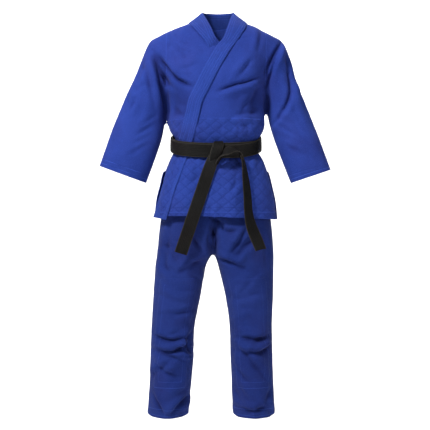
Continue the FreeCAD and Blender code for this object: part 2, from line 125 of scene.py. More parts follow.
# ------------------------------------------------------------------ camera, floor and light
def placed(name, data):
    """A new object in the scene."""
    obj = bpy.data.objects.new(name, data)
    bpy.context.scene.collection.objects.link(obj)
    return obj


def make_camera():
    middle, distance, seen_width = Vector((-0.0035, 0.0, -0.655)), 3.2, 1.49
    data = bpy.data.cameras.new("camera")
    data.sensor_width = 36.0
    data.lens = data.sensor_width * distance / seen_width
    camera = placed("camera", data)
    camera.location = middle + Vector((0, -distance, 0))
    camera.rotation_euler = (math.pi / 2, 0, 0)
    bpy.context.scene.camera = camera


def area_light(name, place, target, size, power):
    data = bpy.data.lights.new(name, "AREA")
    data.shape, data.size, data.energy = "DISK", size, power
    lamp = placed(name, data)
    lamp.location = place
    lamp.rotation_euler = (Vector(target) - Vector(place)).to_track_quat("-Z", "Y").to_euler()


def make_studio():
    """A pale floor that curves up into a wall behind, and three soft lights."""
    floor_z, wall_y, bend, steps, half_width = TROUSER_HEM - 0.16, 2.4, 1.2, 8, 9.0
    rows = [(-6.0, 0.0), (wall_y, 0.0)]
    for i in range(1, steps + 1):
        turn = math.pi / 2 * i / steps
        rows.append((wall_y + bend * math.sin(turn), bend - bend * math.cos(turn)))
    rows.append((wall_y + bend, 7.0))
    verts = [(x, y, floor_z + z) for y, z in rows for x in (-half_width, half_width)]
    faces = [(2 * i, 2 * i + 1, 2 * i + 3, 2 * i + 2) for i in range(len(rows) - 1)]
    mesh = bpy.data.meshes.new("studio_floor")
    mesh.from_pydata(verts, [], faces)
    floor = placed("studio_floor", mesh)
    paint = bpy.data.materials.new("studio_paint")
    paint.use_nodes = True
    shader = paint.node_tree.nodes["Principled BSDF"]
    shader.inputs["Base Color"].default_value = (0.93, 0.93, 0.93, 1)
    shader.inputs["Roughness"].default_value = 0.9
    mesh.materials.append(paint)
    world = bpy.data.worlds.new("studio_air")
    world.use_nodes = True
    colour, strength = world.node_tree.nodes["Background"].inputs[:2]
    colour.default_value, strength.default_value = (1, 1, 1, 1), 0.27
    bpy.context.scene.world = world
    area_light("key", (-1.6, -2.2, 2.0), (0, 0, -0.4), 0.7, 190)
    area_light("fill", (2.4, -2.4, 0.6), (0, 0, -0.6), 1.6, 22)
    area_light("back", (0.0, 1.6, 2.4), (0, 3.6, 0.2), 2.0, 160)


make_camera()
make_studio()
bpy.context.scene.view_settings.view_transform = "Standard"


# ------------------------------------------------------------------ small numeric tools
def spow(value, power):
    return np.sign(value) * np.abs(value) ** power


def smooth_table(table, count):
    """The table's rows along a Catmull-Rom curve, count of them, evenly spaced in the first table's own steps."""
    n = len(table)
    t = np.linspace(0, n - 1, count)
    i = np.clip(t.astype(int), 0, n - 2)
    f = (t - i)[:, None]
    p0, p1 = table[np.clip(i - 1, 0, n - 1)], table[i]
    p2, p3 = table[i + 1], table[np.clip(i + 2, 0, n - 1)]
    return 0.5 * (2 * p1 + (p2 - p0) * f + (2 * p0 - 5 * p1 + 4 * p2 - p3) * f * f
                  + (3 * p1 - p0 - 3 * p2 + p3) * f ** 3)


def smoothstep(low, high, value):
    t = np.clip((value - low) / (high - low), 0, 1)
    return t * t * (3 - 2 * t)


def belt_tilt(z_mm):
    near = np.clip(1 - np.abs(z_mm - BELT_Z) / BELT_TILT_REACH, 0, 1)
    return BELT_TILT * near * near * (3 - 2 * near)


def unit_ring(points, squareness, start=0.0):
    """Directions round a squarish ring: angle, and sideways and depth shares."""
    angle = np.linspace(0, 2 * math.pi, points, endpoint=False) + start
    return angle, spow(np.cos(angle), 2 / squareness), spow(np.sin(angle), 2 / squareness)


TORSO_FINE = smooth_table(TORSO, 200)


def torso_row(z_mm):
    return [np.interp(z_mm, TORSO_FINE[:, 0], TORSO_FINE[:, k]) for k in (1, 2, 3)]


def torso_rings(levels, points):
    _, c, s = unit_ring(points, SQUARENESS)
    rings = []
    for z in levels:
        w, d, y = torso_row(z)
        depth = d * s
        rings.append(np.stack([w * c, y + depth, z + belt_tilt(z) * depth], 1))
    return np.array(rings) * MM


def sleeve_rings(side, count, points, beyond=30.0):
    rows = smooth_table(SLEEVES[side], count)
    outer, inner = rows[:, 0:2], rows[:, 2:4]
    extra = 0.5 * (outer[-1] + inner[-1]) - 0.5 * (outer[-2] + inner[-2])
    extra = extra / np.linalg.norm(extra) * beyond
    last = rows[-1].copy()
    last[0:2] += extra
    last[2:4] += extra
    rows = np.vstack([rows, last])
    _, c, s = unit_ring(points, SLEEVE_SQUARENESS)
    rings = []
    for ox, oz, ix, iz, depth in rows:
        x = (ox + ix) / 2 + c * (ox - ix) / 2
        z = (oz + iz) / 2 + c * (oz - iz) / 2
        rings.append(np.stack([x, SLEEVE_MIDDLE_Y / MM + depth * s, z], 1))
    return np.array(rings) * MM


def leg_rings(side, count, points, beyond=40.0):
    rows = smooth_table(LEGS[side], count)
    last = rows[-1].copy()
    last[0] -= beyond
    rows = np.vstack([rows, last])
    _, c, s = unit_ring(points, 2.0)
    rings = []
    for z, inner, deep, outer, depth, middle, n_in in rows:
        reach = np.where(c < 0, abs(deep - inner), abs(outer - deep))
        flatter = 0.75 * smoothstep(-1180, -1330, z)
        power = np.where(c < 0, 2 / (n_in - flatter), 2 / (2.2 - flatter))
        y = depth * spow(s, power)
        rings.append(np.stack([deep + side * reach * spow(c, power), middle + y, z + belt_tilt(z) * y], 1))
    return np.array(rings) * MM


def closed_tube(rings):
    """(vertices, faces) of a closed solid skinned over rings of points."""
    n, m, _ = rings.shape
    faces = []
    for i in range(n - 1):
        for j in range(m):
            k = (j + 1) % m
            faces.append((i * m + j, i * m + k, (i + 1) * m + k, (i + 1) * m + j))
    faces.append(tuple(range(m))[::-1])
    faces.append(tuple((n - 1) * m + j for j in range(m)))
    return rings.reshape(-1, 3), faces


def new_object(name, verts, faces):
    mesh = bpy.data.meshes.new(name)
    mesh.from_pydata([tuple(v) for v in verts], [], [tuple(f) for f in faces])
    mesh.update()
    return placed(name, mesh)


def joined(parts):
    verts, faces, base = [], [], 0
    for v, f in parts:
        verts.append(v)
        faces += [tuple(i + base for i in face) for face in f]
        base += len(v)
    return np.vstack(verts), faces


def fix_normals(obj, weld=False):
    bm = bmesh.new()
    bm.from_mesh(obj.data)
    if weld:
        bmesh.ops.remove_doubles(bm, verts=bm.verts, dist=1e-6)
    bmesh.ops.recalc_face_normals(bm, faces=bm.faces)
    bm.to_mesh(obj.data)
    bm.free()


def applied(obj):
    """Replaces the object's mesh by what its modifiers make of it."""
    view = bpy.context.evaluated_depsgraph_get()
    mesh = bpy.data.meshes.new_from_object(obj.evaluated_get(view))
    old = obj.data
    obj.modifiers.clear()
    obj.data = mesh
    bpy.data.meshes.remove(old)
    return obj


def remeshed(name, parts):
    obj = new_object(name, *joined(parts))
    fix_normals(obj)
    mod = obj.modifiers.new("remesh", "REMESH")
    mod.mode = "VOXEL"
    mod.voxel_size = VOXEL
    return applied(obj)


def read(items, key, width, kind=float):
    """One property of many mesh elements as an array."""
    values = np.empty(len(items) * width, dtype=kind)
    items.foreach_get(key, values)
    return values.reshape(-1, width)


def get_points(mesh):
    return read(mesh.vertices, "co", 3)


def set_points(mesh, points):
    mesh.vertices.foreach_set("co", np.ascontiguousarray(points, dtype=np.float64).ravel())
    mesh.update()


def get_normals(mesh):
    return read(mesh.vertices, "normal", 3)


def edges_of(mesh):
    return read(mesh.edges, "vertices", 2, np.int64)


def relax(points, edges, steps, factor=0.5, weight=None):
    count = np.bincount(edges.ravel(), minlength=len(points))[:, None]
    for _ in range(steps):
        total = np.zeros_like(points)
        for k in range(3):
            total[:, k] = (np.bincount(edges[:, 0], points[edges[:, 1], k], len(points))
                           + np.bincount(edges[:, 1], points[edges[:, 0], k], len(points)))
        move = (total / np.maximum(count, 1) - points) * factor
        points = points + (move if weight is None else move * weight[:, None])
    return points


# ------------------------------------------------------------------ folds
def fold(points, path, rise, fall, rise_width, fall_width, side=1):
    """How far a fold lifts each (x, z) point, in millimetres.

    The crease follows the path; the cloth bulges on its left (side 1) or right (side -1), and drops into the crease.
    """
    path = smooth_table(np.array(path, float), 4 * len(path))
    p = points[:, [0, 2]] / MM
    best = np.full(len(p), 1e9)
    signed = np.zeros(len(p))
    along = np.zeros(len(p))
    lengths = np.linalg.norm(np.diff(path, axis=0), axis=1)
    total = lengths.sum()
    start = 0.0
    for a, b, length in zip(path[:-1], path[1:], lengths):
        d = (b - a) / length
        rel = p - a
        t = np.clip(rel @ d, 0, length)
        off = rel - t[:, None] * d
        dist = np.hypot(off[:, 0], off[:, 1])
        cross = d[0] * rel[:, 1] - d[1] * rel[:, 0]
        nearer = dist < best
        best[nearer] = dist[nearer]
        signed[nearer] = (np.sign(cross) * dist)[nearer]
        along[nearer] = ((start + t) / total)[nearer]
        start += length
    taper = np.clip(np.sin(np.pi * np.clip(along, 0.02, 0.98)), 0, 1) ** 0.6
    signed *= side
    bulge = 1.25 * rise * np.exp(-((signed - rise_width) / rise_width) ** 2)
    crease = -1.7 * fall * np.exp(-(signed / fall_width) ** 2)
    return (bulge + crease) * taper


def creases(points, rows):
    """The summed lift of folds given as rows of path, rise, fall, rise width, fall width and side."""
    return sum(fold(points, *row) for row in rows)


def crumple(points, seed, count, low, high, lean, length, rise):
    """Scattered shallow creases in a box of (x, z), each leaning about lean degrees from level."""
    rng = np.random.default_rng(seed)
    total = np.zeros(len(points))
    for _ in range(count):
        middle = rng.uniform(low, high)
        turn = math.radians(lean + rng.normal(0, 18))
        half = 0.5 * length * rng.uniform(0.6, 1.3)
        step = np.array((math.cos(turn), math.sin(turn))) * half
        bow = np.array((-step[1], step[0])) * rng.uniform(-0.3, 0.3)
        size = rise * rng.uniform(0.5, 1.2)
        total += fold(points, [middle - step, middle + bow, middle + step], size, 0.7 * size,
                      rng.uniform(12, 20), rng.uniform(6, 10), rng.choice((-1, 1)))
    return total


def calm_sides(normals):
    """Less folding where the cloth faces sideways, so that the outline stays as drafted."""
    return 0.22 + 0.78 * smoothstep(0.15, 0.65, np.abs(normals[:, 1]))


def waves(points, scale, seed, stretch=(1.0, 1.0, 1.0)):
    """Smooth repeatable unevenness between -1 and 1, from a few summed sine waves."""
    rng = np.random.default_rng(seed)
    total = np.zeros(len(points))
    p = points * np.array(stretch) / scale
    for i in range(7):
        direction = rng.normal(size=3)
        direction /= np.linalg.norm(direction)
        total += np.sin(p @ direction * (2.0 + 1.6 * i ** 0.5) + rng.uniform(0, 6.28)) / (1 + 0.35 * i)
    return total / 3.2


# ------------------------------------------------------------------ materials
def cloth_material(name, colour, weave, quilt_size=None, sheen=0.02, rough=0.9, rows=(), fade=0.10, edge_wear_and_highlight=0.0):
    """Woven cotton. The weave follows the attribute flat: metres across, metres along and metres from the edge."""
    mat = bpy.data.materials.new(name)
    mat.use_nodes = True
    nodes, links = mat.node_tree.nodes, mat.node_tree.links
    shader = nodes["Principled BSDF"]
    for key, value in (("Roughness", rough), ("Sheen Weight", sheen), ("Sheen Roughness", 0.5),
                       ("Specular IOR Level", 0.06)):
        shader.inputs[key].default_value = value

    def node(kind, **values):
        made = nodes.new(kind)
        for key, value in values.items():
            setattr(made, key, value)
        return made

    def fill(socket, value):
        if isinstance(value, bpy.types.NodeSocket):
            links.new(value, socket)
        else:
            socket.default_value = value

    def calc(operation, *values):
        made = node("ShaderNodeMath", operation=operation)
        for slot, value in enumerate(values):
            fill(made.inputs[slot], value)
        return made.outputs[0]

    def times(a, b):
        return calc("MULTIPLY", a, b)

    def sine(value, period):
        return calc("SINE", times(value, 2 * math.pi / period))

    def above(value, least):
        return calc("MAXIMUM", calc("SUBTRACT", value, least), 0.0)

    def inverse(value):
        """1 where the value is 0, falling to 0 where it reaches 1."""
        return calc("SUBTRACT", 1.0, calc("MINIMUM", value, 1.0))

    def mixed(below, factor, blend, shade):
        made = node("ShaderNodeMix", data_type="RGBA", blend_type=blend)
        for key, value in (("Factor", factor), ("A", below), ("B", shade)):
            fill(made.inputs[key], value)
        return made.outputs["Result"]

    def noise(scale, **values):
        made = node("ShaderNodeTexNoise")
        for key, value in {"Scale": scale, "Vector": place, **values}.items():
            fill(made.inputs[key], value)
        return made.outputs["Fac"]

    split = node("ShaderNodeSeparateXYZ")
    fill(split.inputs[0], node("ShaderNodeAttribute", attribute_name="flat").outputs["Vector"])
    u, v, w = split.outputs
    place = node("ShaderNodeTexCoord").outputs["Object"]

    if weave == "grain":
        fine = times(sine(u, 0.0013), sine(v, 0.0013))
        height = calc("MULTIPLY_ADD", times(sine(u, 0.0052), sine(v, 0.0075)), 0.5, times(fine, 0.3))
    elif weave == "twill":
        diagonal = calc("ADD", u, times(v, 1.4))
        fine = times(sine(u, 0.0011), sine(v, 0.0011))
        height = calc("MULTIPLY_ADD", sine(diagonal, 0.0019), 0.4, times(fine, 0.3))
    else:
        ribs, picks = calc("ABSOLUTE", sine(u, 0.0022)), calc("ABSOLUTE", sine(v, 0.0030))
        height = calc("MULTIPLY_ADD", ribs, 0.5, times(picks, 0.5))

    # broad fading, the shade between the threads, loose fibres, painted shade in the creases and under the arms, and
    # purple worn patches
    ramp = node("ShaderNodeValToRGB")
    dark, light = ramp.color_ramp.elements
    dark.position, light.position = 0.3, 0.7
    dark.color = (*[c * (1 - fade) for c in colour], 1)
    light.color = (*[min(1, c * (1 + fade) + 0.004) for c in colour], 1)
    fill(ramp.inputs[0], noise(9.0, Detail=5.0))
    pale = (*[min(1, 2.6 * c + 0.004) for c in colour], 1)
    shadow = calc("MAXIMUM", calc("MULTIPLY_ADD", height, -0.35, 0.35), 0.0)
    tone = mixed(ramp.outputs[0], shadow, "MULTIPLY", (0.62, 0.62, 0.66, 1))
    tone = mixed(tone, times(above(noise(420.0, Detail=2.0), 0.5), 0.5), "SCREEN", pale)
    # painted shade: the cloth is darkened in the creases and under the arms, read from a point attribute
    crease_shade = node("ShaderNodeAttribute", attribute_name="crease_shade").outputs["Fac"]
    tone = mixed(tone, times(crease_shade, 0.62), "MULTIPLY", (0.34, 0.24, 0.32, 1))
    worn = times(above(noise(4.2, Detail=6.0, Roughness=0.62), 0.46), 2.6)
    tone = mixed(tone, calc("MINIMUM", worn, 0.8), "MULTIPLY", (1.0, 0.58, 0.60, 1))
    # the strap edges made lighter: partly wear, partly a painted highlight along the folded edges
    if edge_wear_and_highlight:
        rim = inverse(calc("DIVIDE", w, 0.0034))
        tone = mixed(tone, times(rim, edge_wear_and_highlight), "MIX", (0.060, 0.054, 0.046, 1))

    relief = times(height, 0.35)
    if quilt_size:
        sway = times(calc("SUBTRACT", noise(16.0), 0.5), 0.34)
        across = calc("ADD", calc("DIVIDE", u, quilt_size[0]), sway)
        down = calc("DIVIDE", v, quilt_size[1])
        puff_a, puff_b = (calc("ABSOLUTE", calc("SINE", times(calc(way, across, down), math.pi)))
                          for way in ("ADD", "SUBTRACT"))
        puff = calc("POWER", times(puff_a, puff_b), 0.45)
        relief = calc("MULTIPLY_ADD", puff, 2.6, relief)
        line = inverse(times(calc("MINIMUM", puff_a, puff_b), 3.6))
        tone = mixed(tone, times(line, 0.25), "MULTIPLY", (0.25, 0.25, 0.36, 1))
    for at, width in rows:
        off = calc("ABSOLUTE", calc("SUBTRACT", w, at))
        near = calc("LESS_THAN", off, width)
        groove = calc("SMOOTH_MIN", calc("DIVIDE", off, width * 2.2), 1.0, 0.2)
        relief = calc("MULTIPLY_ADD", groove, 0.9, relief)
        stitch = calc("GREATER_THAN", sine(v, 0.0042), -0.45)
        tone = mixed(tone, times(near, 0.5), "MULTIPLY", (0.35, 0.35, 0.45, 1))
        tone = mixed(tone, times(times(near, stitch), 0.35), "SCREEN", pale)
    bump = node("ShaderNodeBump")
    for key, value in (("Strength", 0.75), ("Distance", 0.0011), ("Height", relief)):
        fill(bump.inputs[key], value)
    fill(shader.inputs["Base Color"], tone)
    fill(shader.inputs["Normal"], bump.outputs["Normal"])
    return mat


def stitch_rows(width, *places):
    return tuple((place, width) for place in places)


CLOTH = {
    "jacket": cloth_material("jacket_grain_weave", (0.0180, 0.041, 0.243), "grain",
                             rows=stitch_rows(0.0009, 0.012, 0.026)),
    "quilt": cloth_material("jacket_diamond_quilt", (0.0180, 0.042, 0.247), "twill", quilt_size=(0.040, 0.034),
                            rows=stitch_rows(0.0009, 0.010, 0.024)),
    "band": cloth_material("lapel_band_cloth", (0.0180, 0.044, 0.252), "twill",
                           rows=stitch_rows(0.0008, 0.004, 0.0115, 0.019)),
    "trouser": cloth_material("trouser_drill", (0.0118, 0.0270, 0.158), "twill",
                              rows=stitch_rows(0.0009, 0.006, 0.026)),
    # the belt's lighter edges are wear together with a painted highlight
    "belt": cloth_material("belt_cotton", (0.0050, 0.0048, 0.0045), "rib", sheen=0.0, rough=0.58,
                           rows=stitch_rows(0.0006, 0.0035, 0.0085, 0.0135, 0.0185), fade=0.2, edge_wear_and_highlight=0.42),
}


def set_flat(obj, values):
    mesh = obj.data
    layer = mesh.attributes.get("flat") or mesh.attributes.new("flat", "FLOAT_VECTOR", "POINT")
    layer.data.foreach_set("vector", np.ascontiguousarray(values, dtype=np.float32).ravel())


def paint_crease_shade(mesh, depth=0.0022, broad=0.0):
    """Stores how far each point lies below its smoothed surroundings, 0 to 1: there the colour gets painted shade.

    What broad adds is painted shade alone, with no dip in the surface.
    """
    points, edges = get_points(mesh), edges_of(mesh)
    below = ((relax(points, edges, 14, 0.6) - points) * get_normals(mesh)).sum(1)
    below = relax(np.repeat(below[:, None], 3, 1), edges, 5, 0.6)[:, 0]
    # the attribute holds painted shade for the cloth material
    layer = mesh.attributes.new("crease_shade", "FLOAT", "POINT")
    layer.data.foreach_set("value", np.clip(np.clip(below / depth - 0.08, 0, 1) + broad, 0, 1).astype(np.float32))


def shade_smooth(obj):
    mesh = obj.data
    mesh.polygons.foreach_set("use_smooth", np.ones(len(mesh.polygons), dtype=bool))
    mesh.set_sharp_from_angle(angle=math.radians(55))
    mesh.update()


# ------------------------------------------------------------------ mesh cutting and splitting
def cut_plane(bm, place, normal, faces=None, drop=False):
    """Cuts the mesh along a plane, and drops what lies on the normal's side if asked."""
    geom = list(faces) if faces is not None else bm.faces[:]
    edges = {e for f in geom for e in f.edges}
    verts = {v for f in geom for v in f.verts}
    bmesh.ops.bisect_plane(bm, geom=list(verts) + list(edges) + geom, dist=1e-6, plane_co=place,
                           plane_no=normal, clear_outer=drop, clear_inner=False)


def sleeve_axis(side):
    """Start and direction of the sleeve's middle line, metres."""
    start, end = (Vector(((row[0] + row[2]) / 2, 0, (row[1] + row[3]) / 2)) * MM for row in SLEEVES[side][[1, -1]])
    return start, (end - start).normalized()


def cuff_plane(side):
    last = SLEEVES[side][-1]
    outer, inner = Vector((last[0], 0, last[1])) * MM, Vector((last[2], 0, last[3])) * MM
    edge = (outer - inner).normalized()
    normal = Vector((edge.z, 0, -edge.x))
    return (outer + inner) / 2, -normal if normal.z > 0 else normal


def gap_x(side, z):
    """Between the jacket's side and the sleeve, at a height in metres."""
    rows = smooth_table(SLEEVES[side], 60)
    inner = np.interp(-z / MM, -rows[:, 3], np.abs(rows[:, 2]))
    body = torso_row(z / MM)[0]
    return np.where(z > ARMHOLE_BOTTOM, ARMHOLE_X, (inner + body) / 2 * MM)


def arc_table():
    """Arc length from the front's middle, by height and by direction round the torso."""
    heights = np.linspace(-680, 10, 70)
    turns = np.linspace(0, math.pi, 61)
    table = np.zeros((70, 61))
    for i, z in enumerate(heights):
        w, d, _ = torso_row(z)
        fine = np.linspace(0, math.pi, 721)
        sx, cy = np.sin(fine), -np.cos(fine)
        scale = ((np.abs(sx) / w) ** SQUARENESS + (np.abs(cy) / d) ** SQUARENESS) ** (-1 / SQUARENESS)
        x, y = scale * sx, scale * cy
        run = np.concatenate([[0], np.cumsum(np.hypot(np.diff(x), np.diff(y)))])
        table[i] = np.interp(turns, fine, run)
    return heights, turns, table


ARC_Z, ARC_TURN, ARC = arc_table()


def torso_flat(points):
    """Cloth coordinates of torso points: metres round from the front's middle, and height."""
    z = points[:, 2] / MM
    middle = np.interp(z, TORSO_FINE[:, 0], TORSO_FINE[:, 3]) * MM
    x, y = points[:, 0], points[:, 1] - middle
    turn = np.arctan2(np.abs(x), -y)
    iz = np.clip((z - ARC_Z[0]) / (ARC_Z[1] - ARC_Z[0]), 0, len(ARC_Z) - 1.001)
    it = np.clip(turn / (ARC_TURN[1] - ARC_TURN[0]), 0, len(ARC_TURN) - 1.001)
    i, j = iz.astype(int), it.astype(int)
    fi, fj = iz - i, it - j
    s = (ARC[i, j] * (1 - fi) * (1 - fj) + ARC[i + 1, j] * fi * (1 - fj)
         + ARC[i, j + 1] * (1 - fi) * fj + ARC[i + 1, j + 1] * fi * fj)
    return np.sign(x) * s * MM, points[:, 2]


def along_sleeve(points, side):
    start, down = sleeve_axis(side)
    return (points - np.array(start)) @ np.array(down)


def sleeve_flat(points, side):
    """Cloth coordinates of sleeve points: metres round a middle radius, and metres down the sleeve."""
    start, down = sleeve_axis(side)
    across = (points - np.array(start)) @ np.array((-down.z * side, 0, down.x * side))
    return np.arctan2(across, SLEEVE_MIDDLE_Y - points[:, 1]) * SLEEVE_RADIUS, along_sleeve(points, side)


def path_x(path, z_mm):
    path = sorted(path)
    return np.interp(z_mm, [p[0] for p in path], [p[1] for p in path])


# ------------------------------------------------------------------ jacket
# path, rise, fall, rise width, fall width, side
FRONT_CREASES = [
    # the wearer's right chest and sleeve
    ([(-212, -96), (-163, -158), (-132, -197), (-73, -229)], 9, 9, 16, 7),
    ([(-214, -120), (-172, -196), (-140, -232)], 5, 6, 12, 7, -1),
    ([(-218, -96), (-196, -180), (-178, -280)], 6, 8, 14, 7, -1),
    ([(-262, -120), (-232, -190), (-205, -300)], 5, 4, 16, 9),
    ([(-126, -14), (-130, -40), (-133, -74)], 2.2, 2.0, 12, 8),
    ([(-150, -22), (-157, -60), (-160, -104)], 2.2, 2.2, 12, 8),
    # the wearer's left chest and sleeve
    ([(152, -20), (148, -60), (136, -112)], 3, 2.8, 13, 9, -1),
    ([(226, -58), (196, -112), (166, -176)], 7, 9, 14, 6),
    ([(228, -62), (202, -130), (177, -205)], 6, 8, 13, 6),
    ([(236, -78), (253, -190), (246, -267), (188, -356)], 6, 8, 15, 7),
    ([(250, -100), (266, -205), (262, -300)], 5, 3, 16, 9),
    ([(150, -186), (104, -210), (62, -222), (6, -244)], 7, 8, 14, 7),
    ([(166, -205), (136, -252), (128, -326)], 4, 4.5, 18, 14),
    # the chest falls away below each arm
    ([(-132, -225), (-150, -275), (-140, -330)], 0, 5, 12, 26),
    ([(140, -215), (148, -265), (142, -325)], 0, 6, 12, 24),
]


def gathers():
    """Creases gathered just above and below the belt, and the drape of the back: front rows and back rows."""
    front, back = [], []
    for k, at in enumerate((-128, -96, -70, -34, 14, 48, 82, 116, 138)):
        lean = 6 * math.sin(1.7 * k)
        front += [([(at + lean * 3, -338 - 8 * (k % 3)), (at * 0.93, -392)], 1.6, 1.3, 9, 7),
                  ([(at * 0.96, -450), (at * 1.05 + lean * 2, -500 - 14 * (k % 2))], 1.8, 1.2, 10, 8)]
        back += [([(at + lean, -290 - 10 * (k % 3)), (at * 0.95, -380)], 3, 4, 9, 7),
                 ([(at * 0.96, -430), (at * 1.06, -500 - 18 * (k % 2))], 3, 3, 10, 8)]
    for s in (-1, 1):
        back += [([(s * 190, -110), (s * 150, -190), (s * 80, -240)], 6, 6, 16, 9, s),
                 ([(s * 176, -200), (s * 120, -262), (s * 40, -300)], 5, 5, 16, 9, s),
                 ([(s * 232, -110), (s * 214, -200), (s * 190, -300)], 6, 6, 16, 9, s)]
    return front, back


def jacket_folds(points):
    """Lift along the normal, in millimetres: the creases that the worn jacket shows, and slight unevenness."""
    x, y, z = points.T / MM
    front = smoothstep(30, -30, y)
    back = 1 - front
    belt_front, belt_back = gathers()
    lift = front * creases(points, FRONT_CREASES + belt_front) + back * creases(points, belt_back)
    for s in (-1, 1):
        for k in range(4):
            low = -380 - 34 * k
            lift += fold(points, [(s * (196 + 12 * k), low + 70), (s * (262 + 14 * k), low + 28)],
                         2.2, 2.4, 12, 8, s) * (0.6 + 0.4 * (k % 2))
        lift += front * crumple(points, 20 + s, 9, (s * 250 - 45, -440), (s * 300 + 45, -150), -62 * s, 95, 3.2)
        lift += front * crumple(points, 30 + s, 7, (s * 105 - 45, -320), (s * 105 + 45, -60), 32 * s, 80, 3.0)
    lift += front * crumple(points, 41, 9, (-140, -420), (150, -335), 12, 60, 2.0)
    lift += crumple(points, 42, 12, (-190, -640), (190, -470), 78, 90, 2.2)
    lift += back * crumple(points, 43, 14, (-150, -330), (150, -60), 20, 110, 3.0)
    for middle, depth in ((-128, 10), (112, 12)):
        lift -= front * depth * np.exp(-((x - middle) / 50) ** 2 - ((z + 298) / 36) ** 2)
    # long soft waves in the skirt and panels
    skirt = smoothstep(-440, -620, z)
    lift += skirt * 3.2 * np.sin(x / 31.0 + 0.8) * smoothstep(20, 90, np.abs(x) + 25 * back)
    return lift + 2.2 * waves(points, 0.085, 3) + 0.9 * waves(points, 0.032, 4)


def make_jacket_surface():
    levels = np.concatenate([[-675], np.linspace(-655, 4, 90), [20]])
    torso = torso_rings(levels, 96)
    # a short straight run past both ends, cut off again later
    torso[0] = torso[1] + np.array((0, 0, -0.020))
    torso[-1] = torso[-2] + np.array((0, 0, 0.016))
    parts = [closed_tube(torso)]
    parts += [closed_tube(sleeve_rings(side, 60, 64)) for side in (1, -1)]
    obj = remeshed("jacket_surface", parts)
    mesh = obj.data
    points, edges = get_points(mesh), edges_of(mesh)
    armpit = np.exp(-((np.abs(points[:, 0]) - 0.185) / 0.05) ** 2) * smoothstep(-0.27, -0.19, points[:, 2])
    points = relax(relax(points, edges, 4), edges, 26, 0.5, armpit)
    set_points(mesh, points)
    normals = get_normals(mesh)
    lift = jacket_folds(points) * calm_sides(normals) * smoothstep(-0.668, -0.655, points[:, 2])
    set_points(mesh, points + normals * (lift * MM)[:, None])
    x, y, z = points.T / MM
    # painted shade under the arms, on the front only, with no dip in the surface
    underarm_shade = sum(strength * np.exp(-((x - at_x) / wide) ** 2 - ((z - at_z) / tall) ** 2)
                  for strength, at_x, at_z, wide, tall in UNDERARM_SHADE)
    paint_crease_shade(mesh, broad=underarm_shade * smoothstep(20, -40, y))
    return obj


def select_part(source, name, keep):
    """A copy of the faces whose middles the function keeps."""
    bm = source.copy()
    centres = np.array([f.calc_center_median() for f in bm.faces])
    wanted = keep(centres)
    bmesh.ops.delete(bm, geom=[f for f, w in zip(bm.faces[:], wanted) if not w], context="FACES")
    mesh = bpy.data.meshes.new(name)
    bm.to_mesh(mesh)
    bm.free()
    return placed(name, mesh)


def tidy_edge(obj):
    """Evens out the open edge of a cut panel."""
    mesh = obj.data
    edges = edges_of(mesh)
    uses = np.bincount(read(mesh.loops, "edge_index", 1, np.int64)[:, 0], minlength=len(edges))
    rim = edges[uses == 1]
    mask = np.zeros(len(mesh.vertices))
    mask[rim.ravel()] = 1
    set_points(mesh, relax(get_points(mesh), rim, 3, 0.5, mask))


JACKET = make_jacket_surface()


def split_jacket():
    """The jacket surface trimmed at neck, hem and cuffs, with edges cut where its panels meet."""
    bm = bmesh.new()
    bm.from_mesh(JACKET.data)
    cut_plane(bm, (0, 0, JACKET_HEM), (0, 0, -1), drop=True)
    cut_plane(bm, (0, 0, NECK_CUT), (0, 0, 1), drop=True)

    def faces_where(test):
        return [f for f in bm.faces if test(f.calc_center_median())]

    for side in (1, -1):
        place, normal = cuff_plane(side)
        cut_plane(bm, place, normal, faces_where(lambda c: side * c.x > ARM_REACH), drop=True)
    for side in (1, -1):
        high = faces_where(lambda c: c.z > ARMHOLE_BOTTOM and side * c.x > 0.1)
        cut_plane(bm, (side * ARMHOLE_X, 0, 0), (side, 0, 0), high)
        start, down = sleeve_axis(side)
        far = faces_where(lambda c: side * c.x > ARMHOLE_X and (c - start).dot(down) > 0.05)
        cut_plane(bm, start + down * SLEEVE_SPLIT, down, far)
    for place, normal in (((0, 0, WAIST_SEAM), (0, 0, 1)), ((0, 0, 0), (0, 1, 0))):
        cut_plane(bm, place, normal, faces_where(lambda c: abs(c.x) < BODY_REACH))
    return bm


def in_sleeve(c):
    limit = np.where(c[:, 0] > 0, gap_x(1, c[:, 2]), gap_x(-1, c[:, 2]))
    return (np.abs(c[:, 0]) > limit) & (c[:, 2] > SLEEVES_END)


def lapped(points, normals, lift=0.0042):
    """The wrap-over front lies on the under front, except at its armhole and its side and shoulder seams."""
    armhole = smoothstep(0.125, 0.168, np.abs(points[:, 0])) * smoothstep(-0.26, -0.20, points[:, 2])
    seam = smoothstep(-0.028, -0.004, points[:, 1])
    return points + normals * (lift * (1 - np.maximum(armhole, seam)))[:, None]


def tie(obj, bodies, nodes):
    """Parents a piece to the body it rides, or only bakes its transform where it lies between two bodies, and hides
    the CAD parts it stands for.
    """
    if isinstance(bodies, str):
        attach(obj, bodies)
    else:
        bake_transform(obj)
    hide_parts(*nodes)


def panel(surface, name, keep, cloth, bodies, nodes, flat, edge=None, shapes=(), even=False):
    """One cloth piece cut from a split surface."""
    obj = select_part(surface, name, keep)
    if even:
        tidy_edge(obj)
    mesh = obj.data
    points, normals = get_points(mesh), get_normals(mesh)
    for shape in shapes:
        points = shape(points, normals)
    set_points(mesh, points)
    rest = get_points(mesh)
    set_flat(obj, np.stack([*flat(rest), edge(rest) if edge else np.ones(len(rest))], 1))
    area = float(read(mesh.polygons, "area", 1).sum())
    mesh.materials.clear()
    mesh.materials.append(CLOTH[cloth])
    mod = obj.modifiers.new("thickness", "SOLIDIFY")
    mod.thickness, mod.offset, mod.use_even_offset = CLOTH_THICKNESS, -1.0, False
    applied(obj)
    shade_smooth(obj)
    tie(obj, bodies, nodes)
    return obj


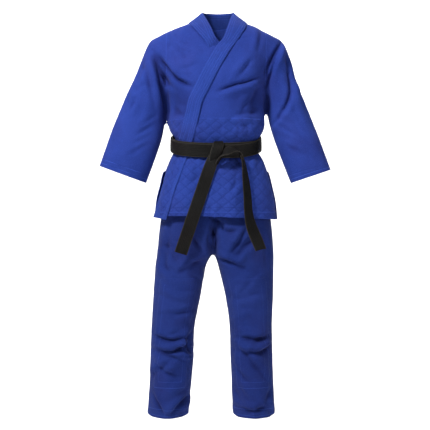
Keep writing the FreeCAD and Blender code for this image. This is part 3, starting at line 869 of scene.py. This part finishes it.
def skirt_shape(back):
    def shape(points, normals):
        x, y, z = points[:, 0], points[:, 1], points[:, 2]
        vent = smoothstep(VENT_TOP, VENT_TOP - 0.008, z) * smoothstep(0.05, 0.0, np.abs(y))
        low = smoothstep(-0.56, -0.655, z)
        out = points.copy()
        if back:
            out[:, 0] += np.sign(x) * vent * 0.007
            out[:, 1] -= vent * 0.012
        else:
            out[:, 0] -= np.sign(x) * vent * 0.004
            out[:, 1] -= vent * 0.006
        out[:, 2] -= low * (0.006 + 0.009 * np.clip(x / 0.2, -0.3, 1))
        return out
    return shape


def jacket_edge(points):
    """Metres from the nearest stitched seam: the hem, the waist seam or the armhole."""
    hem, waist = np.abs(points[:, 2] - JACKET_HEM), np.abs(points[:, 2] - WAIST_SEAM)
    armhole = np.where(points[:, 2] > -0.215, np.abs(np.abs(points[:, 0]) - ARMHOLE_X), 1.0)
    seam = np.minimum(waist, armhole)
    return np.minimum(hem, np.where(seam < 0.010, seam + 0.009, 1.0))


def cuff_edge(side):
    place, normal = cuff_plane(side)
    return lambda points: np.abs((points - np.array(place)) @ np.array(normal))


def make_jacket(surface):
    def back(c):
        return c[:, 1] > 0

    def front_over(c):
        return (c[:, 1] < 0) & (c[:, 0] > path_x(OVER_LAPEL, c[:, 2] / MM) * MM)

    def front_under(c):
        return (c[:, 1] < 0) & (c[:, 0] < path_x(UNDER_LAPEL, c[:, 2] / MM) * MM)

    upper = (lambda c: c[:, 2] > WAIST_SEAM, "jacket", 0.33)
    skirt = (lambda c: c[:, 2] <= WAIST_SEAM, "quilt", 0.32)
    specs = [
        ("jacket_back_panel", upper, back, (), ("jacket_back", "back_seam_tape", "shoulder_lining_left",
         "shoulder_lining_right", "armpit_gusset_left", "armpit_gusset_right")),
        ("jacket_front_under", upper, front_under, (), ("jacket_front_right",)),
        ("jacket_front_over", upper, front_over, (lapped,), ("jacket_front_left",)),
        ("skirt_back_panel", skirt, back, (skirt_shape(True),),
         ("skirt_back", "skirt_hem_back", "vent_patch_left", "vent_patch_right")),
        ("skirt_front_under", skirt, front_under, (skirt_shape(False),),
         ("skirt_front_right", "skirt_hem_front_right")),
        ("skirt_front_over", skirt, front_over, (lapped, skirt_shape(False)), ("skirt_front_left",)),
    ]
    made = {}
    for name, (band, cloth, length), face, shapes, nodes in specs:
        made[name] = panel(surface, name, lambda c: ~in_sleeve(c) & band(c) & face(c), cloth, "garment", nodes,
                           torso_flat, jacket_edge, shapes, even=True)
    for side, word in SIDES:
        def half(lower):
            return lambda c: in_sleeve(c) & (side * c[:, 0] > 0) & ((along_sleeve(c, side) >= SLEEVE_SPLIT) == lower)

        def flat(points):
            return sleeve_flat(points, side)

        upper_arm, forearm = f"upper_sleeve_{word}", f"lower_sleeve_{word}"
        elbow, down = Vector((side * 0.249, 0.004, -0.305)), sleeve_axis(side)[1]
        panel(surface, f"sleeve_{word}_top", half(False), "jacket",
              ("garment", upper_arm, (side * 0.200, 0, -0.142), (side * 0.248, 0, -0.178)),
              (f"sleeve_{word}_upper",), flat)
        panel(surface, f"sleeve_{word}_cuffward", half(True), "jacket",
              (upper_arm, forearm, elbow - down * 0.045, elbow + down * 0.075),
              (f"sleeve_{word}_lower", f"sleeve_{word}_cuff_hem"), flat, cuff_edge(side))
    surface.free()
    return made


JACKET_PIECES = make_jacket(split_jacket())


# ------------------------------------------------------------------ trousers
# creases of the worn trousers: path, rise, fall, rise width, fall width, side
LEG_CREASES = [
    # below the jacket and round the crotch
    ([(-20, -686), (-12, -712), (-22, -738), (-10, -786)], 6, 5, 13, 7, 1),
    ([(6, -712), (2, -748), (-4, -786)], 5, 4, 10, 6, -1),
    ([(-22, -662), (14, -680), (28, -707), (80, -708)], 5, 5, 12, 6, 1),
    ([(104, -700), (76, -745), (46, -790)], 6, 6, 14, 7, -1),
    ([(-12, -800), (40, -812), (96, -834)], 6, 6, 14, 7, 1),
    ([(-96, -700), (-70, -742), (-40, -788)], 5, 6, 13, 7, 1),
    ([(-30, -806), (-88, -826), (-130, -852)], 5, 5, 15, 8, -1),
    ([(150, -690), (168, -760), (172, -850)], 4, 3, 16, 10, 1),
    ([(-150, -690), (-172, -770), (-176, -860)], 4, 3, 16, 10, -1),
    # knees
    ([(-212, -1062), (-150, -1078), (-92, -1068)], 6, 8, 13, 7, 1),
    ([(-200, -1108), (-150, -1118), (-82, -1088)], 8, 9, 14, 7, 1),
    ([(-78, -1050), (-100, -1085), (-84, -1130)], 5, 5, 12, 7, -1),
    ([(108, -1112), (150, -1118), (192, -1092)], 8, 8, 14, 7, 1),
    ([(186, -1060), (150, -1074), (96, -1066)], 4, 5, 13, 7, -1),
    ([(76, -1096), (116, -1146), (172, -1216)], 6, 5, 16, 8, 1),
    ([(54, -1150), (86, -1196), (128, -1238)], 4, 4, 15, 8, 1),
    ([(-210, -1150), (-170, -1186), (-120, -1206)], 4, 4, 15, 8, 1),
    # hems
    ([(-218, -1262), (-186, -1316), (-168, -1340)], 6, 6, 13, 7, 1),
    ([(-98, -1284), (-132, -1306), (-160, -1336)], 6, 6, 13, 7, -1),
    ([(76, -1306), (120, -1318), (178, -1304)], 7, 7, 12, 7, 1),
    ([(196, -1236), (176, -1280), (150, -1306)], 4, 4, 14, 8, 1),
]


def leg_back_creases():
    """Creases behind the knees, under the seat and above the hems."""
    rows = []
    for s, mid in ((1, 124), (-1, -150)):
        rows += [([(mid - 62, at - 8 * (k % 2)), (mid, at - 14), (mid + 62, at + 6)], 6, 7, 13, 7)
                 for k, at in enumerate((-1058, -1092, -1124))]
        rows += [([(s * 20, -770), (s * 80, -815), (s * 150, -835)], 7, 7, 16, 9, -s),
                 ([(s * 14, -800), (s * 66, -866), (s * 118, -905)], 5, 5, 16, 9, -s),
                 ([(mid - 50, -1236), (mid + 10, -1262), (mid + 60, -1250)], 5, 5, 14, 8)]
    return rows


def make_trouser_surface():
    obj = remeshed("trouser_surface", [closed_tube(leg_rings(side, 110, 72)) for side in (1, -1)])
    mesh = obj.data
    points, edges = get_points(mesh), edges_of(mesh)
    middle = np.exp(-((points[:, 0] - CROTCH_X) / 0.03) ** 2) * smoothstep(-0.85, -0.79, points[:, 2])
    points = relax(relax(points, edges, 4), edges, 18, 0.5, middle)
    set_points(mesh, points)
    front = smoothstep(25, -25, points[:, 1] / MM)
    lift = front * creases(points, LEG_CREASES) + (1 - front) * creases(points, leg_back_creases())
    for s, mid in ((1, 120), (-1, -150)):
        lift += crumple(points, 60 + s, 7, (mid * 0.8 - 50, -900), (mid * 0.8 + 50, -700), 24 * s, 90, 3.2)
        lift += crumple(points, 64 + s, 8, (mid - 50, -1060), (mid + 50, -900), 14 * s, 110, 2.6)
        lift += crumple(points, 68 + s, 8, (mid - 45, -1150), (mid + 45, -1050), 4 * s, 95, 4.0)
        lift += crumple(points, 72 + s, 10, (mid - 50, -1330), (mid + 50, -1150), -38 * s, 100, 3.6)
    lift += 2.6 * waves(points, 0.095, 11, (1, 1, 0.6)) + 1.0 * waves(points, 0.034, 12)
    normals = get_normals(mesh)
    patch = smoothstep(-0.001, 0.002, knee_patch_edges(points))
    set_points(mesh, points + normals * ((lift * calm_sides(normals) + 1.6 * patch) * MM)[:, None])
    # painted shade in the trousers' creases
    paint_crease_shade(mesh)
    return obj


def leg_middle(side, z):
    """Middle x, middle y and half width of one leg at heights in metres."""
    rows = smooth_table(LEGS[side], 80)
    return [np.interp(-z / MM, -rows[:, 0], column) * MM
            for column in ((rows[:, 1] + rows[:, 3]) / 2, rows[:, 5], np.abs(rows[:, 3] - rows[:, 1]) / 2)]


def own_leg(points):
    """The same of whichever leg each point belongs to."""
    left, right = leg_middle(1, points[:, 2]), leg_middle(-1, points[:, 2])
    return [np.where(points[:, 0] > CROTCH_X, a, b) for a, b in zip(left, right)]


def leg_flat(points):
    mid, my, half = own_leg(points)
    turn = np.arctan2(points[:, 0] - mid, -(points[:, 1] - my))
    return turn * (half * 0.5 + 0.045), points[:, 2]


def knee_patch_edges(points):
    """Signed distance inside the knee patch, metres: positive inside."""
    s, z = leg_flat(points)
    inside = np.minimum(KNEE_PATCH_HALF - np.abs(s), np.minimum(KNEE_PATCH_TOP - z, z - KNEE_PATCH_BOTTOM))
    return np.where(points[:, 1] < own_leg(points)[1], inside, -0.05)


def trouser_edge(points):
    """Metres from the nearest stitched edge: the hem or the knee patch's own edge."""
    hem, patch = points[:, 2] - TROUSER_HEM, knee_patch_edges(points)
    return np.where(hem < 0.035, np.abs(hem), np.where(patch > -0.003, np.abs(patch) + 0.003, 0.5))


TROUSERS = make_trouser_surface()


def split_trousers():
    bm = bmesh.new()
    bm.from_mesh(TROUSERS.data)
    cut_plane(bm, (0, 0, TROUSER_HEM), (0, 0, -1), drop=True)
    cut_plane(bm, (0, 0, TROUSER_TOP), Vector((0, -BELT_TILT, 1)).normalized(), drop=True)
    cut_plane(bm, (CROTCH_X, 0, 0), (1, 0, 0))
    cut_plane(bm, (0, 0, KNEE_SPLIT), (0, 0, 1))
    return bm


def hem_shape(points, normals):
    """The hem rises a little toward the back."""
    out = points.copy()
    low = smoothstep(-1.20, -1.344, points[:, 2])
    out[:, 2] += low * (0.004 + 0.012 * np.clip((points[:, 1] - own_leg(points)[1]) / 0.07, -0.6, 1))
    return out


def make_trousers(surface):
    for side, word in SIDES:
        def half(lower):
            return lambda c: (side * (c[:, 0] - CROTCH_X) > 0) & ((c[:, 2] < KNEE_SPLIT) == lower)

        thigh, shin = f"thigh_{word}", f"shin_{word}"
        groin = (0.060 if side > 0 else -0.075, 0, -0.900)
        gusset = ("crotch_gusset",) if side > 0 else ()
        panel(surface, f"trouser_leg_{word}_upper", half(False), "trouser",
              ("garment", thigh, (CROTCH_X, 0, -0.790), groin),
              (f"trouser_seat_{word}", f"trouser_thigh_{word}", f"knee_patch_upper_{word}") + gusset,
              leg_flat, trouser_edge)
        panel(surface, f"trouser_leg_{word}_lower", half(True), "trouser",
              (thigh, shin, (0, 0, -1.005), (0, 0, -1.145)),
              (f"trouser_shin_{word}", f"trouser_hem_{word}", f"knee_patch_lower_{word}"),
              leg_flat, trouser_edge, (hem_shape,))
    surface.free()


def tree_of(*objs):
    """A ray-casting tree over the rest shape of several pieces."""
    verts, faces = [], []
    for obj in objs:
        base = len(verts)
        verts += [v.co.copy() for v in obj.data.vertices]
        faces += [tuple(i + base for i in p.vertices) for p in obj.data.polygons]
    return BVHTree.FromPolygons(verts, faces)


# ------------------------------------------------------------------ straps: lapels, collar, belt
def band_mesh(name, left, right, normal, thickness, cloth, closed=False, across=9, rounding=0.35):
    """A padded strap between two edge lines, with its length and mean width.

    Its flat attribute holds metres across, along and from its edge.
    """
    n = len(left)
    width = np.linalg.norm(right - left, axis=1)
    run = np.concatenate([[0], np.cumsum(np.linalg.norm(np.diff((left + right) / 2, axis=0), axis=1))])
    half = thickness / 2
    steps = (1 - np.cos(np.linspace(0, math.pi, across))) / 2
    verts, flats = [], []
    for face, ts in ((1, steps), (-1, steps[::-1])):
        for t in ts:
            dist = min(t, 1 - t) * width
            full = np.clip(dist / (half * 1.2), 0, 1)
            swell = np.sqrt(1 - (1 - full) ** 2) * (1 - rounding) + rounding * np.sin(np.pi * t) ** 0.5
            verts.append(left + (right - left) * t + normal * (face * half * swell)[:, None])
            flats.append(np.stack([t * width, run, dist], 1))
    m = len(verts)
    faces = []
    for i in range(n if closed else n - 1):
        k = (i + 1) % n
        faces += [(i * m + j, i * m + (j + 1) % m, k * m + (j + 1) % m, k * m + j) for j in range(m)]
    if not closed:
        faces += [tuple(range(m))[::-1], tuple((n - 1) * m + j for j in range(m))]
    obj = new_object(name, np.stack(verts, 1).reshape(-1, 3), faces)
    set_flat(obj, np.stack(flats, 1).reshape(-1, 3))
    fix_normals(obj, weld=True)
    shade_smooth(obj)
    obj.data.materials.append(CLOTH[cloth])
    return obj, float(run[-1]), float(width.mean())


def surface_y(tree, x, z):
    """The front of the cloth at a place, or of the torso's own outline where there is no cloth to hit."""
    hit = tree.ray_cast(Vector((x, -1.0, z)), Vector((0, 1, 0)))
    if hit[0] is not None and hit[0].y < 0.0:
        return hit[0].y
    w, d, y = torso_row(z / MM + 20 * float(smoothstep(-0.55, -0.41, z)))
    across = min(abs(x / MM) / w, 0.985)
    return (y - d * (1 - across ** SQUARENESS) ** (1 / SQUARENESS)) * MM


def lapel_edges(path, side, tree, lift, half=24.0):
    """Edge lines of one lapel from the hem up round to the middle of the back neck."""
    zs = [-667, -640, -600, -560, -520, -480, -450, -425, -400, -375, -345, -310, -270, -230, -190, -150, -115, -92]
    outer, inner = [], []
    for z in zs:
        x = float(path_x(path, z))
        dx = float(path_x(path, z + 12) - path_x(path, z - 12)) / 24
        n = np.array((1.0, -dx)) / math.hypot(1, dx)
        for store, sign in ((outer, side), (inner, -side)):
            px, pz = (x + sign * half * n[0]) * MM, (z + sign * half * n[1]) * MM
            y = surface_y(tree, px, max(pz, -0.654))
            sunk = 0.0 if side > 0 else 0.0125 * float(smoothstep(-0.085, -0.125, pz))
            under_belt = 0.0035 * math.exp(-((pz + 0.437) / 0.034) ** 2)
            store.append((px, y - lift + sunk + under_belt, pz))
    if side > 0:
        neck_outer = [(62, -106, -74), (81, -91, -44), (96, -71, -17)]
        neck_inner = [(17, -98, -60), (31, -80, -22), (42, -52, 12)]
    else:
        neck_outer = [(42, -105, -74), (65, -91, -44), (89, -73, -15)]
        neck_inner = [(8, -104, -56), (22, -86, -22), (37, -56, 10)]
    neck_outer += [(101, -24, 2), (98, 36, -3), (73, 69, -5), (34, 91, -10), (0, 95, -13)]
    neck_inner += [(50, -18, 38), (53, 14, 49), (44, 42, 53), (24, 59, 55), (0, 64, 55)]
    lines = []
    for front, neck in ((outer, neck_outer), (inner, neck_inner)):
        line = np.array(front)
        line[1:-1, 1] = line[:-2, 1] * 0.25 + line[1:-1, 1] * 0.5 + line[2:, 1] * 0.25
        lines.append(np.vstack([line, np.array([(side * x + NECK_X, y, z) for x, y, z in neck]) * MM]))
    return lines


def make_lapels():
    tree = tree_of(*(JACKET_PIECES[name] for name in ("jacket_front_over", "skirt_front_over", "jacket_front_under",
                                                      "skirt_front_under")))
    for side, path, lift, name, nodes in (
            (1, OVER_LAPEL, 0.0040, "lapel_band_left_over", ("lapel_left_over", "collar_band")),
            (-1, UNDER_LAPEL, 0.0006, "lapel_band_right_under", ("lapel_right_under",))):
        outer, inner = (smooth_table(line, 220) for line in lapel_edges(path, side, tree, lift))
        normal = np.cross(np.gradient((outer + inner) / 2, axis=0), inner - outer) * side
        normal /= np.linalg.norm(normal, axis=1)[:, None]
        if normal[10, 1] > 0:
            normal = -normal
        obj, length, width = band_mesh(name, outer, inner, normal, 0.0065, "band")
        tie(obj, "garment", nodes)


def closed_strip(name, reach, z_mid, height, thickness, cloth, node, flare=0.0, seed=0.0,
                 wobble=0.0):
    """A flat strip sewn or wound into a ring round the waist, which leans down toward the front."""
    angle, c, s = unit_ring(200, SQUARENESS, -math.pi / 2)
    wave = wobble * (np.sin(angle * 3 + seed) + 0.6 * np.sin(angle * 5 + 2.1 * seed))
    edges = []
    for dz, extra in ((height / 2, 0.0), (-height / 2, flare)):
        y = (reach[1] + extra) * s
        edges.append(np.stack([(reach[0] + extra) * c, y, z_mid + dz + BELT_TILT * y + wave], 1) * MM)
    top, bottom = edges
    normal = np.cross(np.roll(top, -1, 0) - np.roll(top, 1, 0), bottom - top)
    normal /= np.linalg.norm(normal, axis=1)[:, None]
    obj, _, _ = band_mesh(name, top, bottom, normal, thickness, cloth, closed=True)
    tie(obj, "garment", (node,))


def strap(name, stations, width, thickness, body, node, count=60, cloth="belt"):
    """A flat strap through stations of middle point, width direction and share of the width, millimetres."""
    line = smooth_table(np.array(stations, float), count)
    mids, dirs, share = line[:, :3] * MM, line[:, 3:6], line[:, 6:]
    dirs /= np.linalg.norm(dirs, axis=1)[:, None]
    along = np.gradient(mids, axis=0)
    along /= np.linalg.norm(along, axis=1)[:, None]
    dirs -= along * (dirs * along).sum(1)[:, None]
    dirs /= np.linalg.norm(dirs, axis=1)[:, None]
    half = width * MM / 2 * share
    obj, length, mean_width = band_mesh(name, mids - dirs * half, mids + dirs * half, np.cross(along, dirs),
                                        thickness * MM, cloth)
    tie(obj, body, (node,))


def make_belt_turns():
    for name, offset, z_mid, seed, node in (("belt_inner_turn", 12.0, -404.5, 0.4, "belt_first_turn"),
                                            ("belt_outer_turn", 17.0, -408.0, 2.0, "belt_second_turn")):
        closed_strip(name, (139 + offset, 97 + offset), z_mid, 45, 0.0042, "belt", node,
                     flare=0.8, seed=seed, wobble=1.0)


def make_waistband():
    """The trousers' doubled waistband, with its stitched casing, and the two loops in front."""
    half_width, half_depth, z_mid, loop_x = 119, 76, -400, 62
    closed_strip("trouser_waistband_casing", (half_width, half_depth), z_mid, 40, 0.0045, "trouser",
                 "trouser_waistband")
    front = -(half_depth * (1 - (loop_x / half_width) ** SQUARENESS) ** (1 / SQUARENESS))
    for side, word in SIDES:
        stations = [(side * loop_x, front + dy, z_mid + BELT_TILT * front + dz, 1, 0, 0, 1.0)
                    for dy, dz in ((1, 14), (-5, 10), (-7, 0), (-5, -10), (1, -14))]
        strap(f"drawstring_loop_{word}_sewn", stations, 10, 1.6, "garment", f"drawstring_loop_{word}",
              24, "trouser")


def make_knot():
    strap("belt_knot_wrap_fold", [
        (8, -108, -410, 1, 0, 0.05, 0.72), (8, -121, -417, 1, 0, 0, 0.8), (4, -129, -434, 1, 0, 0.2, 0.84),
        (-2, -128, -454, 0.95, 0, 0.35, 0.84), (-8, -122, -474, 0.93, 0.1, 0.4, 0.8),
        (-10, -112, -482, 0.93, 0.1, 0.4, 0.75),
    ], 45, 5.5, "garment", "belt_knot_wrap")
    strap("belt_knot_cross_fold", [
        (2, -119, -486, 0.7, 0, 0.7, 0.30), (8, -131, -474, 0.74, 0.1, 0.67, 0.42),
        (22, -141, -455, 0.60, 0.25, 0.75, 0.60), (38, -144, -443, 0.3, 0.35, 0.88, 0.68),
        (56, -141, -436, 0.0, 0.5, 0.86, 0.60), (70, -136, -438, -0.35, 0.6, 0.7, 0.50),
        (80, -131, -448, -0.55, 0.7, 0.45, 0.44), (85, -127, -461, -0.62, 0.78, 0.1, 0.4),
        (86, -124, -470, -0.6, 0.8, 0.0, 0.4),
    ], 45, 5.5, "garment", "belt_knot_cross")


def make_tails():
    strap("belt_end_right", [
        (-8, -124, -463, 0.94, 0, -0.33, 0.85), (-22, -129, -500, 0.94, 0, -0.34, 0.97),
        (-52, -139, -590, 0.94, 0.02, -0.33, 1.0), (-86, -143, -690, 0.94, 0, -0.33, 1.0),
        (-113, -146, -770, 0.94, 0, -0.33, 1.0), (-117, -146, -782, 0.94, 0, -0.33, 1.0),
    ], 43, 4, "tail_right", "belt_tail_right", 90)
    strap("belt_end_left", [
        (86, -124, -458, 0.30, 0.95, 0.0, 0.55), (92, -129, -482, 0.36, 0.93, 0.0, 0.8),
        (98, -134, -530, 0.52, 0.85, 0.02, 0.98), (104, -138, -590, 0.64, 0.76, 0.04, 1.0),
        (108, -142, -650, 0.70, 0.70, 0.10, 1.0), (118, -145, -695, 0.80, 0.50, 0.24, 1.0),
        (134, -146, -735, 0.90, 0.20, 0.36, 0.92), (146, -146, -764, 0.92, 0.1, 0.38, 0.86),
        (148, -146, -770, 0.92, 0.1, 0.38, 0.86),
    ], 43, 4, "tail_left", "belt_tail_left", 90)


make_lapels()
make_belt_turns()
make_waistband()
make_knot()
make_tails()
make_trousers(split_trousers())
bpy.data.objects.remove(TROUSERS)
bpy.data.objects.remove(JACKET)
